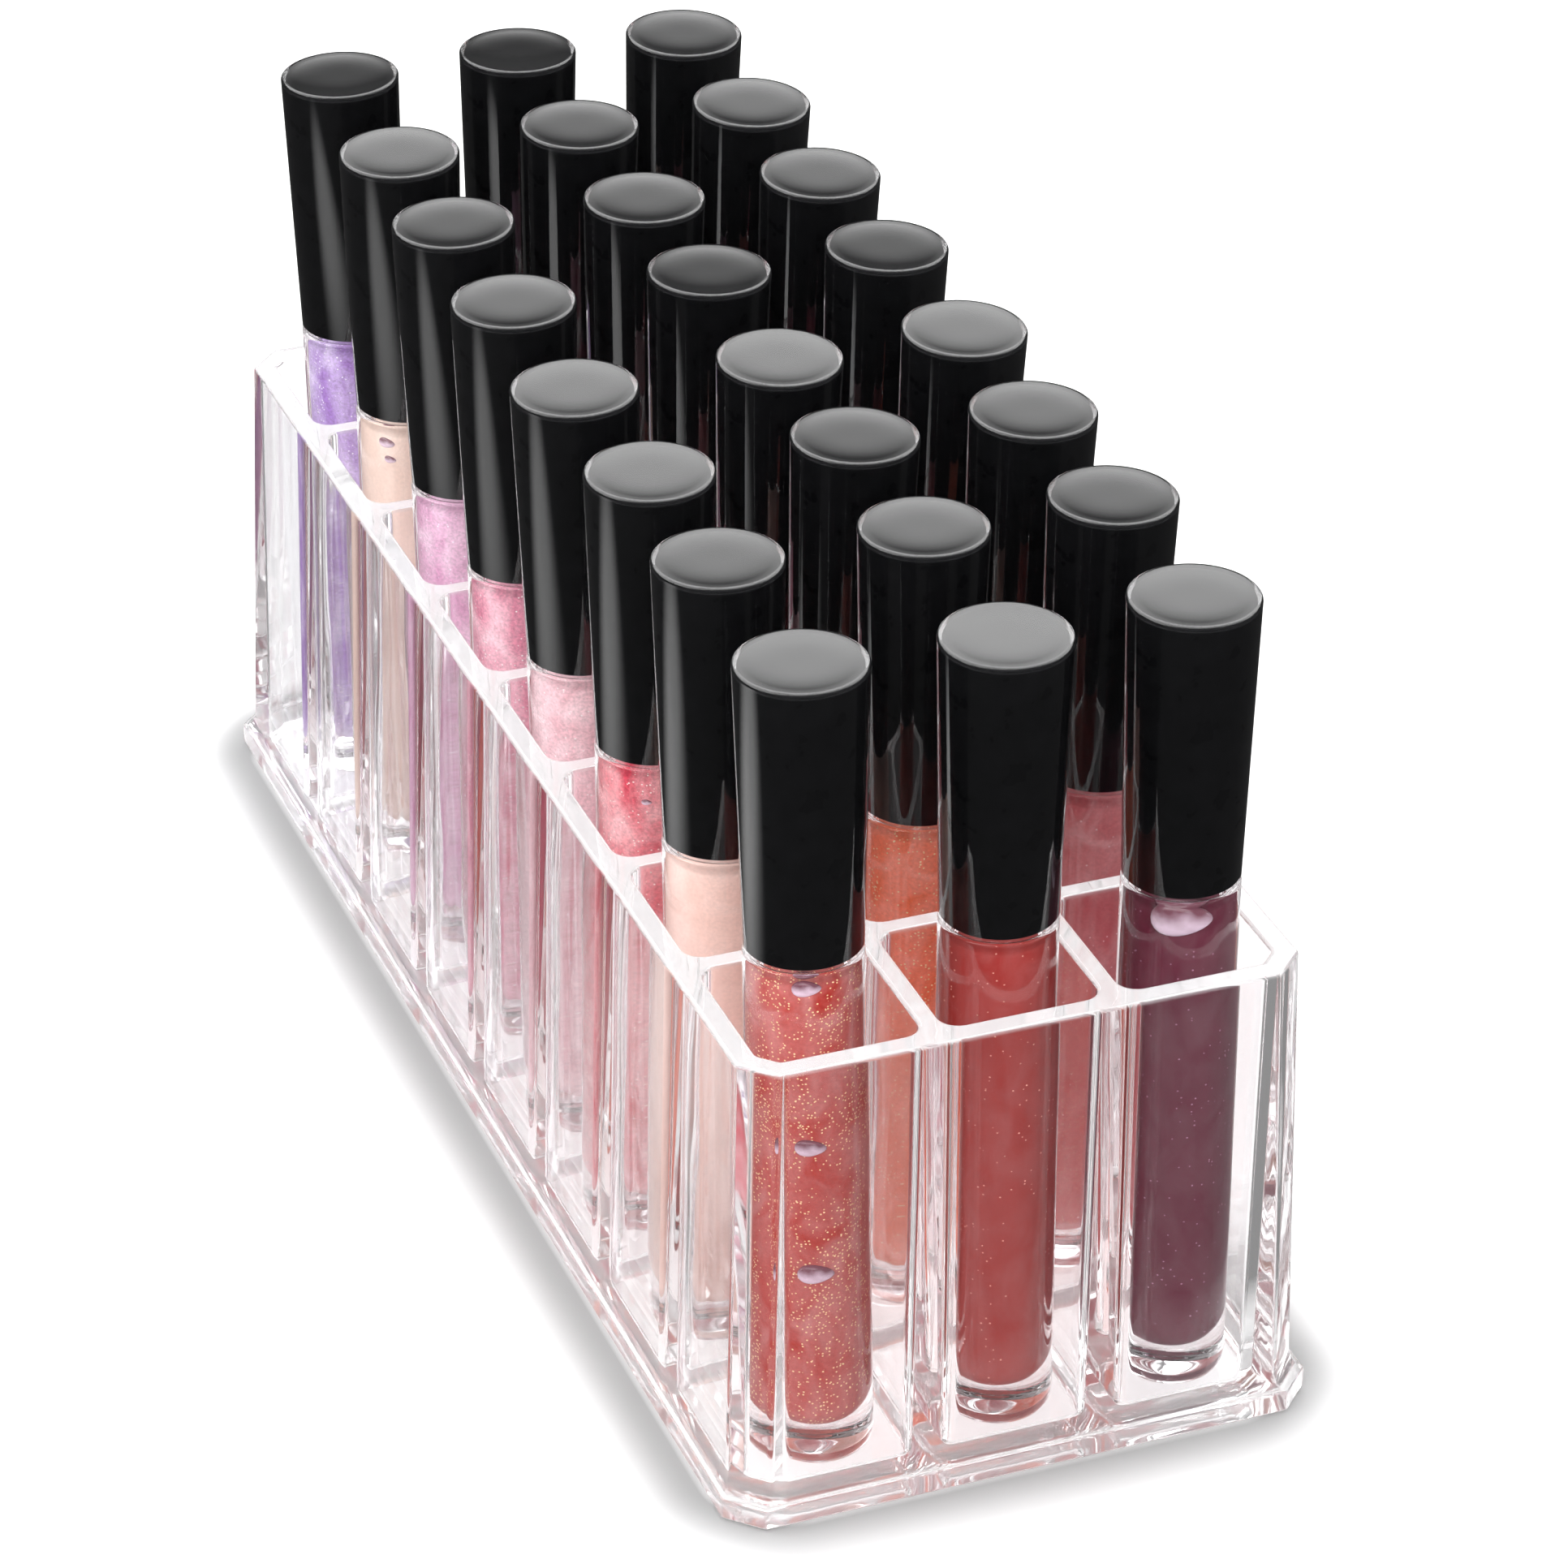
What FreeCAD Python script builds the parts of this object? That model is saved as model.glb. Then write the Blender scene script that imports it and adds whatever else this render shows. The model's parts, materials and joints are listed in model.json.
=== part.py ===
"""A clear vanity organizer with its tubes of lip gloss: a tray of cells, and in each cell a tube that lifts
out, made of a thick-walled bottle and a cap that carries the wand.

Millimetres, Z up. The origin is on the table, under the middle of the tray. X runs across the columns of
cells and Y along their rows, with row 1 at -Y."""

import FreeCAD, Part
import math
import os

# The tray's cells, measured at its rim. They narrow towards the floor by the taper on each side
column_names = "abc"
row_count = 8
cell_width = 21.7
cell_length = 23.3
cell_taper = 0.6
divider_thickness = 2.8
wall_thickness = 3.2
tray_height = 67.0

# The tray's outside, which flares from its rim to its foot and stands on a plate that shows as a flange
side_flare = 1.3
end_flare = 2.3
corner_chamfer = 4.4
plate_thickness = 2.2
plate_projection = 1.5

# The bottle, standing on its own base
bottle_diameter = 15.5
bottle_length = 74.0
bottle_edge_radius = 2.2
bottle_base_thickness = 5.0
bore_diameter = 9.0
bore_edge_radius = 2.6
shoulder_thickness = 2.0
neck_diameter = 10.2
neck_bore_diameter = 7.0
neck_height = 10.4
bead_width = 1.4
bead_height = 0.5

# The gloss, which stands in the bottle a film's width from its wall
gloss_headroom = 2.0
gloss_film = 0.05

# The wiper, a plug in the neck that the wand is drawn through
wiper_flange_thickness = 0.8
wiper_length = 7.0
wiper_wall = 0.7
wiper_lip_thickness = 0.8
wiper_clearance = 0.05

# The cap: a black core in a clear sleeve, both wider at the top
cap_length = 40.2
cap_base_diameter = 15.4
cap_top_diameter = 17.2
cap_bevel = 0.4
cap_seat_gap = 0.2
sleeve_wall = 0.7
sleeve_roof = 0.9
sleeve_clearance = 0.05
core_recess = 0.4
neck_clearance = 0.5
neck_headroom = 0.6

# The wand, plugged into the cap's core, and its flocked tip
wand_diameter = 3.2
wand_plug_diameter = 5.0
wand_plug_length = 8.0
tip_diameter = 3.6
tip_length = 13.0
tip_edge_radius = 1.2
tip_floor_gap = 9.0
wand_clearance = 0.4

# How the tubes stand: each leans a little in its cell. The most that its foot and its cap's top stray from
# the cell's middle is a share of the bottle's play there. The tables give each tube's part of that, along X
# and Y, from row 1 to row 8
seat_gap = 0.1
foot_play_share = 0.96
top_play_share = 1.4
foot_shares = {
    "a": [(-0.10, -1.00), (-0.40, -0.30), (-0.35, 0.10), (-0.20, -0.20),
          (-0.15, -0.10), (0.20, -0.30), (0.00, 0.20), (0.30, -0.30)],
    "b": [(0.20, -1.00), (0.20, -0.50), (-0.30, -0.20), (-0.10, 0.30),
          (-0.30, -0.40), (0.10, -0.20), (-0.20, 0.10), (0.10, -0.40)],
    "c": [(0.40, -1.00), (-0.30, -0.40), (-0.40, -0.10), (-0.20, 0.30),
          (-0.40, -0.20), (-0.30, 0.20), (-0.40, 0.30), (-0.20, 0.10)],
}
top_shares = {
    "a": [(-0.60, -0.15), (-0.65, 0.40), (-0.65, 0.05), (-1.00, -0.15),
          (-0.75, 0.15), (-0.70, 0.15), (-0.65, -0.30), (-0.60, 0.35)],
    "b": [(-0.15, -0.85), (0.20, 0.10), (0.50, 0.10), (0.20, -0.40),
          (0.35, 0.15), (0.25, -0.20), (0.15, -0.20), (0.20, 0.25)],
    "c": [(0.25, -0.50), (0.60, -0.05), (0.55, -0.25), (0.75, -0.55),
          (0.70, -0.20), (0.70, -0.50), (0.55, -0.60), (0.40, -0.45)],
}

# How far a cutting shape runs past the face that it opens
overrun = 1.0

# The tray's sizes that follow from those above
column_count = len(column_names)
column_pitch = cell_width + divider_thickness
row_pitch = cell_length + divider_thickness
hollow_width = column_count * column_pitch - divider_thickness
hollow_length = row_count * row_pitch - divider_thickness
rim_width = hollow_width + 2 * wall_thickness
rim_length = hollow_length + 2 * wall_thickness
foot_width = rim_width + 2 * side_flare
foot_length = rim_length + 2 * end_flare
plate_width = foot_width + 2 * plate_projection
plate_length = foot_length + 2 * plate_projection
offset_share = 2 - math.sqrt(2)
hollow_chamfer = corner_chamfer - wall_thickness * offset_share
plate_chamfer = corner_chamfer + plate_projection * offset_share
divider_foot = divider_thickness + 2 * cell_taper

# The tube's sizes that follow, measured from the bottle's base
bottle_radius = bottle_diameter / 2
bore_radius = bore_diameter / 2
neck_radius = neck_diameter / 2
neck_bore_radius = neck_bore_diameter / 2
neck_top = bottle_length + neck_height
shoulder_base = bottle_length - shoulder_thickness
cone_base = shoulder_base - (bore_radius - neck_bore_radius)
gloss_top = cone_base - gloss_headroom
wiper_top = neck_top + wiper_flange_thickness
cap_base = bottle_length + cap_seat_gap
cap_top = cap_base + cap_length
cap_slope_share = (cap_top_diameter - cap_base_diameter) / 2 / cap_length
core_base = cap_base + core_recess
core_top = cap_top - sleeve_roof - sleeve_clearance
core_bore_radius = neck_radius + bead_height + neck_clearance
core_bore_top = wiper_top + neck_headroom
wand_plug_radius = wand_plug_diameter / 2
wand_plug_top = core_bore_top + wand_plug_length
tip_base = bottle_base_thickness + tip_floor_gap
tip_top = tip_base + tip_length
channel_radius = max(wand_diameter, tip_diameter) / 2 + wand_clearance

# How far the tubes stray, from the bottle's play between the walls at the foot of its cell
cell_play = (min(cell_width, cell_length) - bottle_diameter) / 2 - cell_taper
foot_play = cell_play * foot_play_share
top_play = cell_play * top_play_share


def level_outline(width, length, height, chamfer=0):
    """A level rectangle about the Z axis, its corners cut off where there is a chamfer."""
    x, y = width / 2, length / 2
    inner_x, inner_y = x - chamfer, y - chamfer
    corners = [(x, -inner_y), (x, inner_y), (inner_x, y), (-inner_x, y),
               (-x, inner_y), (-x, -inner_y), (-inner_x, -y), (inner_x, -y)]
    if not chamfer:
        corners = corners[::2]
    return Part.makePolygon([FreeCAD.Vector(a, b, height) for a, b in corners + corners[:1]])


def block(lower, upper):
    """The solid between two level outlines, with flat sides."""
    return Part.makeLoft([lower, upper], True, True)


def prism(corners, base, top):
    """An upright solid on a plan outline of (x, y) corners."""
    points = [FreeCAD.Vector(x, y, base) for x, y in corners]
    return Part.Face(Part.makePolygon(points + points[:1])).extrude(FreeCAD.Vector(0, 0, top - base))


def lathe(points):
    """The solid that a closed outline of (radius, height) points makes when it turns about Z. A point with a
    third number is a square corner rounded to that radius."""
    corners = [FreeCAD.Vector(point[0], 0, point[1]) for point in points]
    starts, ends = [], []
    for i, point in enumerate(points):
        here, before, after = corners[i], corners[i - 1], corners[(i + 1) % len(corners)]
        radius = point[2] if len(point) > 2 else 0
        starts.append(here + (before - here).normalize() * radius)
        ends.append(here + (after - here).normalize() * radius)
    edges = []
    for i, point in enumerate(points):
        if len(point) > 2:
            centre = starts[i] + ends[i] - corners[i]
            middle = centre + (corners[i] - centre).normalize() * point[2]
            edges.append(Part.Arc(starts[i], middle, ends[i]).toShape())
        edges.append(Part.makeLine(ends[i], starts[(i + 1) % len(points)]))
    return Part.Face(Part.Wire(edges)).revolve(FreeCAD.Vector(), FreeCAD.Vector(0, 0, 1), 360)


def base_plate():
    """The floor of the cells, which stands out all round as a flange."""
    return block(level_outline(plate_width, plate_length, 0, plate_chamfer),
                 level_outline(plate_width, plate_length, plate_thickness, plate_chamfer))


def hollow():
    """The room inside the four walls, drafted so that it narrows towards the floor."""
    return block(level_outline(hollow_width - 2 * cell_taper, hollow_length - 2 * cell_taper, plate_thickness,
                               hollow_chamfer),
                 level_outline(hollow_width, hollow_length, tray_height, hollow_chamfer))


def walls():
    """The four outer walls by name. They meet in mitres at the chamfered corners."""
    frame = block(level_outline(foot_width, foot_length, plate_thickness, corner_chamfer),
                  level_outline(rim_width, rim_length, tray_height, corner_chamfer)).cut(hollow())
    reach = max(side_flare, end_flare) + overrun
    x, y = rim_width / 2 + reach, rim_length / 2 + reach
    apex = (rim_length - rim_width) / 2
    plans = {
        "front_wall": [(-x, -y), (x, -y), (0, -apex)],
        "rear_wall": [(x, y), (-x, y), (0, apex)],
        "left_wall": [(-x, y), (-x, -y), (0, -apex), (0, apex)],
        "right_wall": [(x, -y), (x, y), (0, apex), (0, -apex)],
    }
    return {name: frame.common(prism(plan, 0, tray_height + overrun)) for name, plan in plans.items()}


def long_dividers():
    """The dividers between the columns, from the front wall to the rear wall."""
    blade = block(level_outline(divider_foot, foot_length, plate_thickness),
                  level_outline(divider_thickness, foot_length, tray_height))
    places = [(i - column_count / 2) * column_pitch for i in range(1, column_count)]
    return [hollow().common(blade.translated(FreeCAD.Vector(x, 0, 0))) for x in places]


def cross_dividers():
    """The short dividers between the rows, as one list for each column."""
    blade = block(level_outline(foot_width, divider_foot, plate_thickness),
                  level_outline(foot_width, divider_thickness, tray_height))
    columns = [[] for _ in column_names]
    for i in range(1, row_count):
        place = FreeCAD.Vector(0, (i - row_count / 2) * row_pitch, 0)
        pieces = hollow().common(blade.translated(place)).cut(long_dividers()).Solids
        pieces.sort(key=lambda piece: piece.CenterOfMass.x)
        for column, piece in zip(columns, pieces):
            column.append(piece)
    return columns


def bottle():
    """A thick clear bottle with a heavy base, a neck, and a bead on the neck that the cap closes over."""
    bead_base = bottle_length + (neck_height - bead_width) / 2
    bead_top = bead_base + bead_width
    bead_radius = neck_radius + bead_height
    return lathe([
        (0, 0),
        (bottle_radius, 0, bottle_edge_radius),
        (bottle_radius, bottle_length),
        (neck_radius, bottle_length),
        (neck_radius, bead_base),
        (bead_radius, bead_base),
        (bead_radius, bead_top),
        (neck_radius, bead_top),
        (neck_radius, neck_top),
        (neck_bore_radius, neck_top),
        (neck_bore_radius, shoulder_base),
        (bore_radius, cone_base),
        (bore_radius, bottle_base_thickness, bore_edge_radius),
        (0, bottle_base_thickness),
    ])


def gloss():
    """The gloss, with the channel that the wand stands in."""
    radius = bore_radius - gloss_film
    base = bottle_base_thickness + gloss_film
    channel_base = tip_base - wand_clearance
    return lathe([
        (0, base),
        (radius, base, bore_edge_radius - gloss_film),
        (radius, gloss_top),
        (channel_radius, gloss_top),
        (channel_radius, channel_base),
        (0, channel_base),
    ])


def wiper():
    """A plug with a flange on the neck's top and a lip at its lower end."""
    outer_radius = neck_bore_radius - wiper_clearance
    inner_radius = outer_radius - wiper_wall
    base = neck_top - wiper_length
    lip_top = base + wiper_lip_thickness
    return lathe([
        (channel_radius, base),
        (outer_radius, base),
        (outer_radius, neck_top),
        (neck_radius, neck_top),
        (neck_radius, wiper_top),
        (inner_radius, wiper_top),
        (inner_radius, lip_top),
        (channel_radius, lip_top),
    ])


def cap_radius(height):
    """The outer radius of the cap, which widens steadily from its base to its top."""
    return cap_base_diameter / 2 + cap_slope_share * (height - cap_base)


def cap_core():
    """The black core, with a socket for the neck and a narrower one for the wand's plug."""
    inset = sleeve_wall + sleeve_clearance
    return lathe([
        (core_bore_radius, core_base),
        (cap_radius(core_base) - inset, core_base),
        (cap_radius(core_top) - inset, core_top),
        (0, core_top),
        (0, wand_plug_top),
        (wand_plug_radius, wand_plug_top),
        (wand_plug_radius, core_bore_top),
        (core_bore_radius, core_bore_top),
    ])


def cap_sleeve():
    """The clear sleeve over the core, closed at the top, with a small bevel round its upper edge."""
    roof_base = cap_top - sleeve_roof
    bevel_base = cap_top - cap_bevel
    return lathe([
        (cap_radius(cap_base) - sleeve_wall, cap_base),
        (cap_radius(cap_base), cap_base),
        (cap_radius(bevel_base), bevel_base),
        (cap_radius(cap_top) - cap_bevel, cap_top),
        (0, cap_top),
        (0, roof_base),
        (cap_radius(roof_base) - sleeve_wall, roof_base),
    ])


def wand():
    """The stem, with the plug that holds it in the core."""
    stem_radius = wand_diameter / 2
    return lathe([
        (0, tip_top),
        (stem_radius, tip_top),
        (stem_radius, core_bore_top),
        (wand_plug_radius, core_bore_top),
        (wand_plug_radius, wand_plug_top),
        (0, wand_plug_top),
    ])


def tip():
    """The flocked tip at the stem's lower end."""
    radius = tip_diameter / 2
    return lathe([
        (0, tip_base),
        (radius, tip_base, tip_edge_radius),
        (radius, tip_top),
        (0, tip_top),
    ])


def standing(column, row):
    """The placement that stands a tube in its cell, leaning from its foot to its cap's top. The lowest point
    of its base clears the floor by seat_gap."""
    name = column_names[column]
    middle = FreeCAD.Vector((column - (column_count - 1) / 2) * column_pitch,
                            (row - (row_count - 1) / 2) * row_pitch, plate_thickness + seat_gap)
    foot = FreeCAD.Vector(*foot_shares[name][row], 0) * foot_play
    top = FreeCAD.Vector(*top_shares[name][row], 0) * top_play
    axis = top - foot + FreeCAD.Vector(0, 0, cap_top)
    tilt = math.atan(math.hypot(axis.x, axis.y) / axis.z)
    flat_radius = bottle_radius - bottle_edge_radius
    dip = flat_radius * math.sin(tilt) - bottle_edge_radius * (1 - math.cos(tilt))
    base = middle + foot + FreeCAD.Vector(0, 0, dip)
    return FreeCAD.Placement(base, FreeCAD.Rotation(FreeCAD.Vector(0, 0, 1), axis))


def group(shapes, placement=FreeCAD.Placement()):
    """Separate solids as one shape, moved together."""
    whole = Part.makeCompound(shapes)
    whole.Placement = placement
    return whole


def all_parts():
    """Every node of the organizer: its name and its shape."""
    parts = {"base_plate": base_plate(), **walls()}
    for side, divider in zip(["left", "right"], long_dividers()):
        parts[f"long_divider_{side}"] = divider
    for column, pieces in zip(column_names, cross_dividers()):
        parts[f"cross_dividers_{column}"] = group(pieces)
    bottle_pieces = [bottle(), gloss(), wiper()]
    cap_pieces = [cap_core(), cap_sleeve(), wand(), tip()]
    for column, name in enumerate(column_names):
        for row in range(row_count):
            place = standing(column, row)
            parts[f"bottle_{name}{row + 1}"] = group(bottle_pieces, place)
            parts[f"cap_{name}{row + 1}"] = group(cap_pieces, place)
    return parts


os.makedirs("parts", exist_ok=True)
for node, shape in all_parts().items():
    shape.exportStep(f"parts/{node}.step")
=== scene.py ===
import json
import math

import bmesh
import bpy
from mathutils import Matrix, Vector
from mathutils.geometry import delaunay_2d_cdt


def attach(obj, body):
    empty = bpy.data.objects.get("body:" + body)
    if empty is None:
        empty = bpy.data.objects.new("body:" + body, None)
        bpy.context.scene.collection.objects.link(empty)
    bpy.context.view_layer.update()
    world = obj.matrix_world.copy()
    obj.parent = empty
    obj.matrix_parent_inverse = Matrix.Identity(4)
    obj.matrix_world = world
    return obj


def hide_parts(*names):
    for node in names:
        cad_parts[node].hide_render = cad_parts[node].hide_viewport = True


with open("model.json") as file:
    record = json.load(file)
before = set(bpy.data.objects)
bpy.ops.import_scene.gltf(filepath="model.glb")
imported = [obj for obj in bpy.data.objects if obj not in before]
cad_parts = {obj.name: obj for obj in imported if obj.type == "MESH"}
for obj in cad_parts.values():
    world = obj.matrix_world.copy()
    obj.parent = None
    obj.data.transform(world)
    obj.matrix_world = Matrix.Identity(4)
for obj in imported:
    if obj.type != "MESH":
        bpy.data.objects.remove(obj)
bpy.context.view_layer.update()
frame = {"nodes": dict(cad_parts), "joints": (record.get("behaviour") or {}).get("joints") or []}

# Sizes are in millimetres, as in the part's source, and turned to metres where a mesh is made
MM = 0.001
SEGMENTS = 72
WAND_SEGMENTS = 32

# The tray
COLUMNS = "abc"
ROWS = 8
CELL = (21.7, 23.3)
PITCH = (24.5, 26.1)
CELL_TAPER = 0.6
CELL_CORNER = 2.7
CELL_CORNER_LEAST = 0.8
CELL_LEVELS = (52, 36, 20)
CORNER_CUT = 2.5
CORNER_CUT_ROUND = 1.5
FLOOR = 2.2
FLOOR_FILLET = 1.4
RIM = (38.55, 106.2)
RIM_HEIGHT = 67.0
RIM_ROUND = 0.55
FLARE = (1.3, 2.3)
CHAMFER = 4.4
CHAMFER_ROUND = 0.7
WALL_LEVELS = (12, 24, 36, 48, 60)
PLATE_OUT = 1.5
PLATE_SIDE = 3.3
PLATE_ROUND = 0.4
FOOT_SLOPE_TOP = 6.2
SAME_PLACE = 1e-4

# The tubes, measured from the bottle's base
BOTTLE_RADIUS = 7.75
BOTTLE_LENGTH = 74.0
BOTTLE_LEVELS = (12, 40, 66)
BASE_THICKNESS = 5.0
BASE_HOLLOW = 0.45
BASE_HOLLOW_EDGE = (4.2, 0.4)
BASE_RING = 5.0
BASE_ROUND = 2.2
BORE_RADIUS = 4.5
BORE_ROUND = 2.6
BORE_LEVEL = 40
NECK_RADIUS = 5.1
NECK_BORE = 3.5
NECK_TOP = 84.4
NECK_ENDS = (0.5, 0.4)
NECK_ROWS = 36
SHOULDER_BASE = 72.0
SHOULDER_ROUND = 0.6
CONE_BASE = 71.0
CONE_ROUND = 0.8
THREAD_PITCH = 3.2
THREAD_TURNS = 1.6
THREAD_START = 2.2
THREAD_MARGIN = 0.9
THREAD_HALF_WIDTH = 0.8
THREAD_HEIGHT = 0.5
THREAD_FADE = 0.12
GLOSS_TOP = 69.0
GLOSS_LAP = 0.03
GLOSS_FILM = (0.25, 0.35)
GLOSS_DIP = (0.8, 0.6)
GLOSS_NECK_GAP = 0.4
ROUND_EASE = 0.02
CHANNEL_RADIUS = 2.2
CHANNEL_BASE = 13.6
WIPER_BASE = 77.4
WIPER_TOP = 85.2
WIPER_PLAY = 0.05
WIPER_WALL = 0.7
WIPER_LIP = 0.8
WIPER_SEAT = 0.02
CAP_BASE = 74.2
CAP_TOP = 114.4
CAP_RADII = (7.7, 8.6)
SLEEVE = 0.7
SLEEVE_ROOF = 0.9
SLEEVE_LAP = 0.02
TOP_BAND = 0.7
TOP_SINK = 0.12
TOP_RINGS = 8
CORE_RECESS = 0.4
CORE_SOCKET = 6.1
CORE_SOCKET_TOP = 85.8
PLUG_RADIUS = 2.5
PLUG_TOP = 93.8
PLUG_PLAY = 0.02
STEM_RADIUS = 1.6
STEM_END_SHARE = 0.9
STEM_TAPER = (1.5, 2.5)
TIP_BASE = 14.0
TIP_TOP = 27.0
TIP_RADIUS = 1.8
TIP_LEVELS = (4, 7, 10)
TIP_SEAT = 2
SLANT_START = -0.5
SLANT_RISE = 2.3
SLANT_LENGTH = 8.5
SLANT_BEND = 0.8
BUBBLE_STEPS = 12
BUBBLE_THIN_SHARE = 0.3
BUBBLE_LOW_SHARE = 0.7
BUBBLE_SKEW_SHARE = 0.3

# The clear plastic: where the tray's foot and rim hold light back, and how clear they are
PLASTIC_IOR = 1.49
FOOT_BAND = (36.5, 104.0)
FOOT_BAND_CORNER = 3.0
FOOT_SHADE = 0.12
FOOT_SHADE_TOP = (5.0, 9.0)
FOOT_MILKY = (3.8, 2.8)
FOOT_CLARITY = 0.88
RIM_MILKY = (0.7, 0.1)
RIM_CLARITY = 0.76

# The gloss
GLOSS_PASSED = 0.95
FLAKE_SCALE = 2.6
FLAKE_RADIUS = 0.3
FLAKE_METAL = 0.2

# The studio, in metres: the floor's painted glow under and away from the tray, so that it is white but for the
# shadow beside the tray, and its painted shadow, a grey in its colour beside the foot
FOOT_REACH = (0.042, 0.1105)
SHADOW_CORNER = 0.012
SHADOW_SHIFT = (0, 0.0025, 0)
FLOOR_GREY = 0.58
PAINTED_SHADOW_GREY = 0.36
PAINTED_SHADOW_REACH = 0.008
UNDER_REACH = 0.002
PAINTED_GLOW_UNDER = 0.42
FAR_REACH = (0.001, 0.014)
PAINTED_GLOW_AWAY = 0.6

# What mirrors the floor: a black screen, a white card, and a pale glow after more than two reflections
SCREEN_REACH = 0.015
SCREEN_GLOW = 0.05
WALLED_GLOW = 0.3
PIPED_GLOW = 0.9
PIPED_DEPTH = 2
CARD_STRETCH = 2
CARD_PLACE = (-0.1, -0.005, 0)
CARD_RADII = (0.09, 0.02)
CARD_GLOW = 2.2

# What mirrors the world, by height and by depth of the direction
SKY_HEIGHTS = (0.36, 0.54)
SKY_GLOWS = (0.15, 4.2)
SKY_DEPTHS = (-0.6, 0.2)
FRONT_GLOW = 0.3
FILL_COLOUR = (1.15, 1.15, 1.16)

# The floor's half-width and drop, in millimetres
FLOOR_REACH = 4000
FLOOR_DROP = 0.3

# The camera, fitted to the photograph, in degrees, millimetres of lens and metres
CAMERA_SENSOR = 36
CAMERA_LENS = 139.33
CAMERA_NEAR = 0.01
CAMERA_AZIMUTH = 21.63
CAMERA_FALL = 30.74
CAMERA_ROLL = 0.75
CAMERA_PLACE = (-0.26476, -0.68745, 0.48086)


def rounded(points, steps=5):
    """A path through (x, y) points, as pairs. A point with a third number is rounded to that radius."""
    path = []
    for i, point in enumerate(points):
        here = Vector(point[:2])
        if len(point) < 3 or not point[2]:
            path.append(here)
            continue
        before = (Vector(points[i - 1][:2]) - here).normalized()
        after = (Vector(points[(i + 1) % len(points)][:2]) - here).normalized()
        half = before.angle(after) / 2
        centre = here + (before + after).normalized() * (point[2] / math.sin(half))
        start = here + before * (point[2] / math.tan(half)) - centre
        sweep = (math.pi - 2 * half) * (1 if before.x * after.y - before.y * after.x < 0 else -1)
        for k in range(steps + 1):
            turned = start.copy()
            turned.rotate(Matrix.Rotation(sweep * k / steps, 2))
            path.append(centre + turned)
    return [(p.x, p.y) for p in path]


def make_mesh(name, verts, faces, material, smooth=35):
    """A mesh in metres from points in millimetres, its faces turned outwards and softly shaded."""
    mesh = bpy.data.meshes.new(name)
    mesh.from_pydata([(x * MM, y * MM, z * MM) for x, y, z in verts], [], faces)
    work = bmesh.new()
    work.from_mesh(mesh)
    bmesh.ops.recalc_face_normals(work, faces=work.faces)
    work.to_mesh(mesh)
    work.free()
    mesh.shade_smooth()
    mesh.set_sharp_from_angle(angle=math.radians(smooth))
    mesh.materials.append(material)
    return mesh


def add_object(name, data):
    """An object in the scene that shows a mesh, a lamp or a camera."""
    item = bpy.data.objects.new(name, data)
    bpy.context.scene.collection.objects.link(item)
    return item


def revolve(profile, closed=False, segments=SEGMENTS, radius_at=None):
    """The points and faces of a profile of (radius, height) turned about Z.
    An open profile runs from pole to pole."""
    verts, faces, rings = [], [], []
    for r, z in profile:
        if r < SAME_PLACE:
            rings.append([len(verts)])
            verts.append((0, 0, z))
            continue
        ring = []
        for k in range(segments):
            angle = 2 * math.pi * k / segments
            reach = radius_at(r, z, angle) if radius_at else r
            ring.append(len(verts))
            verts.append((reach * math.cos(angle), reach * math.sin(angle), z))
        rings.append(ring)
    pairs = list(zip(rings, rings[1:] + rings[:1])) if closed else list(zip(rings, rings[1:]))
    for lower, upper in pairs:
        for k in range(segments):
            a, b = lower[k % len(lower)], lower[(k + 1) % len(lower)]
            c, d = upper[(k + 1) % len(upper)], upper[k % len(upper)]
            corners = [a, b, c, d]
            face = [v for i, v in enumerate(corners) if v not in corners[:i]]
            if len(face) > 2:
                faces.append(face)
    return verts, faces


# Materials
def start_material(name):
    """An empty node material, its node tree, and its output."""
    made = bpy.data.materials.new(name)
    made.use_nodes = True
    tree = made.node_tree
    tree.nodes.clear()
    out = tree.nodes.new("ShaderNodeOutputMaterial")
    return made, tree, out


def node(tree, kind, inputs=(), **values):
    """A node with its settings and inputs given by name, or inputs as (input, socket or value) pairs."""
    made = tree.nodes.new(kind)
    for key, value in values.items():
        if hasattr(made, key):
            setattr(made, key, value)
        else:
            made.inputs[key.replace("_", " ")].default_value = value
    for key, given in inputs:
        if isinstance(given, bpy.types.NodeSocket):
            tree.links.new(given, made.inputs[key])
        else:
            made.inputs[key].default_value = given
    return made


def local_mm(tree, stretch=(1, 1, 1), shift=(0, 0, 0)):
    """The piece's own coordinates in millimetres."""
    coords = node(tree, "ShaderNodeTexCoord")
    mapped = node(tree, "ShaderNodeMapping", [("Vector", coords.outputs["Object"])],
                  Scale=[s / MM for s in stretch], Location=shift)
    return mapped.outputs["Vector"]


def two_tone(tree, socket, start, end):
    """A colour ramp from one (position, colour) to another."""
    ramp = node(tree, "ShaderNodeValToRGB", [("Fac", socket)])
    for stop, (position, colour) in zip(ramp.color_ramp.elements, (start, end)):
        stop.position = position
        stop.color = (*colour, 1)
    return ramp.outputs["Color"]


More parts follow.
